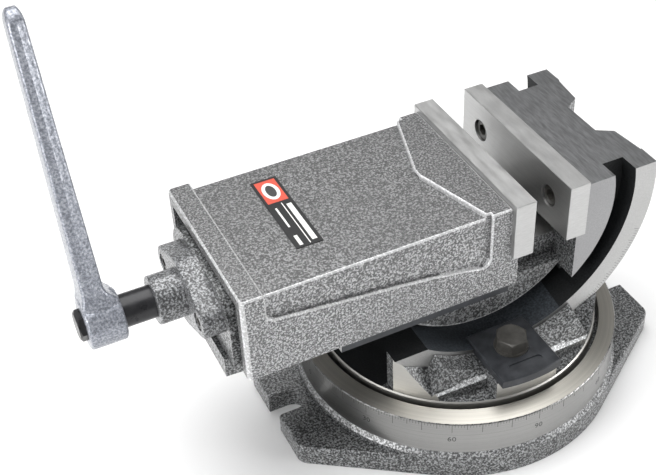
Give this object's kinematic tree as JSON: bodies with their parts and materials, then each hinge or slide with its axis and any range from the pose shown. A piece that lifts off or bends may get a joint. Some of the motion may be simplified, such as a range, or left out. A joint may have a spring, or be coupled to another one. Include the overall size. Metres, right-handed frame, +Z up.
{
  "type": "machine vise",
  "caption": "Machine vise whose arc-rimmed bed tilts in a swivelling cradle, with a hood-shaped moving jaw, hardened jaw plates, a crank and a slotted round base.",
  "frame": {"origin": "centre of the base's underside, on the swivel axis", "axes": "+Z up along the swivel axis, +X along the screw from the crank towards the fixed jaw, Y across the jaws' width"},
  "size_m": [0.3865, 0.221, 0.3157],
  "materials": {
    "hammertone_paint": "hammertone grey enamel on cast iron",
    "hood_paint": "hammertone grey enamel, fine grain",
    "crank_paint": "silver-grey hammered enamel",
    "scale_metal": "hammertone foot with a turned, graduated boss",
    "ground_steel": "surface ground",
    "black_steel": "black oxide",
    "bolt_steel": "oiled black oxide",
    "screw_steel": "black oxide, turned",
    "bronze": "machined bronze",
    "plain_steel": "turned",
    "plate_print": "printed foil"
  },
  "bodies": {
    "base": {"base_casting": "scale_metal"},
    "swivel": {"swivel_cradle": "hammertone_paint", "pivot_pin": "plain_steel", "tee_nuts": "plain_steel", "front_clamp_plate": "black_steel", "front_clamp_washer": "bolt_steel", "rear_clamp_plate": "black_steel", "rear_clamp_washer": "bolt_steel"},
    "front_bolt": {"front_clamp_bolt": "bolt_steel"},
    "rear_bolt": {"rear_clamp_bolt": "bolt_steel"},
    "tilting_bed": {"bed_casting": "hammertone_paint", "fixed_jaw_plate": "ground_steel", "fixed_jaw_screws": "bolt_steel", "bearing_flange": "hammertone_paint", "flange_screws": "bolt_steel"},
    "moving_jaw": {"moving_jaw_casting": "hood_paint", "moving_jaw_plate": "ground_steel", "moving_jaw_screws": "bolt_steel", "jaw_strips": "black_steel", "jaw_keeper": "plain_steel", "keeper_screws": "bolt_steel", "screw_nut": "bronze", "nut_screws": "bolt_steel", "name_plate": "plate_print"},
    "screw": {"lead_screw": "screw_steel", "thrust_ring": "plain_steel"},
    "crank": {"crank_handle": "crank_paint"}
  },
  "joints": [
    {"name": "swivel_turn", "type": "hinge", "parent": "base", "child": "swivel", "pos_m": [0, 0, 0.038], "axis": [0, 0, 1], "continuous": true},
    {"name": "bed_tilt", "type": "hinge", "parent": "swivel", "child": "tilting_bed", "pos_m": [0, 0, 0.1547], "axis": [0, 1, 0], "range_deg": [0, 45]},
    {"name": "jaw_slide", "type": "slide", "parent": "tilting_bed", "child": "moving_jaw", "axis": [1, 0, 0], "range_m": [-0.058, 0.0238]},
    {"name": "screw_turn", "type": "hinge", "parent": "tilting_bed", "child": "screw", "pos_m": [0, 0, 0.1395], "axis": [1, 0, 0], "range_deg": [-4175, 1713]},
    {"name": "crank_pull", "type": "slide", "parent": "screw", "child": "crank", "axis": [-1, 0, 0], "range_m": [0, 0.03]},
    {"name": "front_bolt_turn", "type": "hinge", "parent": "swivel", "child": "front_bolt", "pos_m": [0, -0.071, 0.075], "axis": [0, 0, 1], "range_deg": [0, 300]},
    {"name": "rear_bolt_turn", "type": "hinge", "parent": "swivel", "child": "rear_bolt", "pos_m": [0, 0.071, 0.075], "axis": [0, 0, 1], "range_deg": [0, 300]}
  ],
  "couplings": [
    {"joint": "jaw_slide", "follows": "screw_turn", "m_per_rad": 0.00079577}
  ]
}
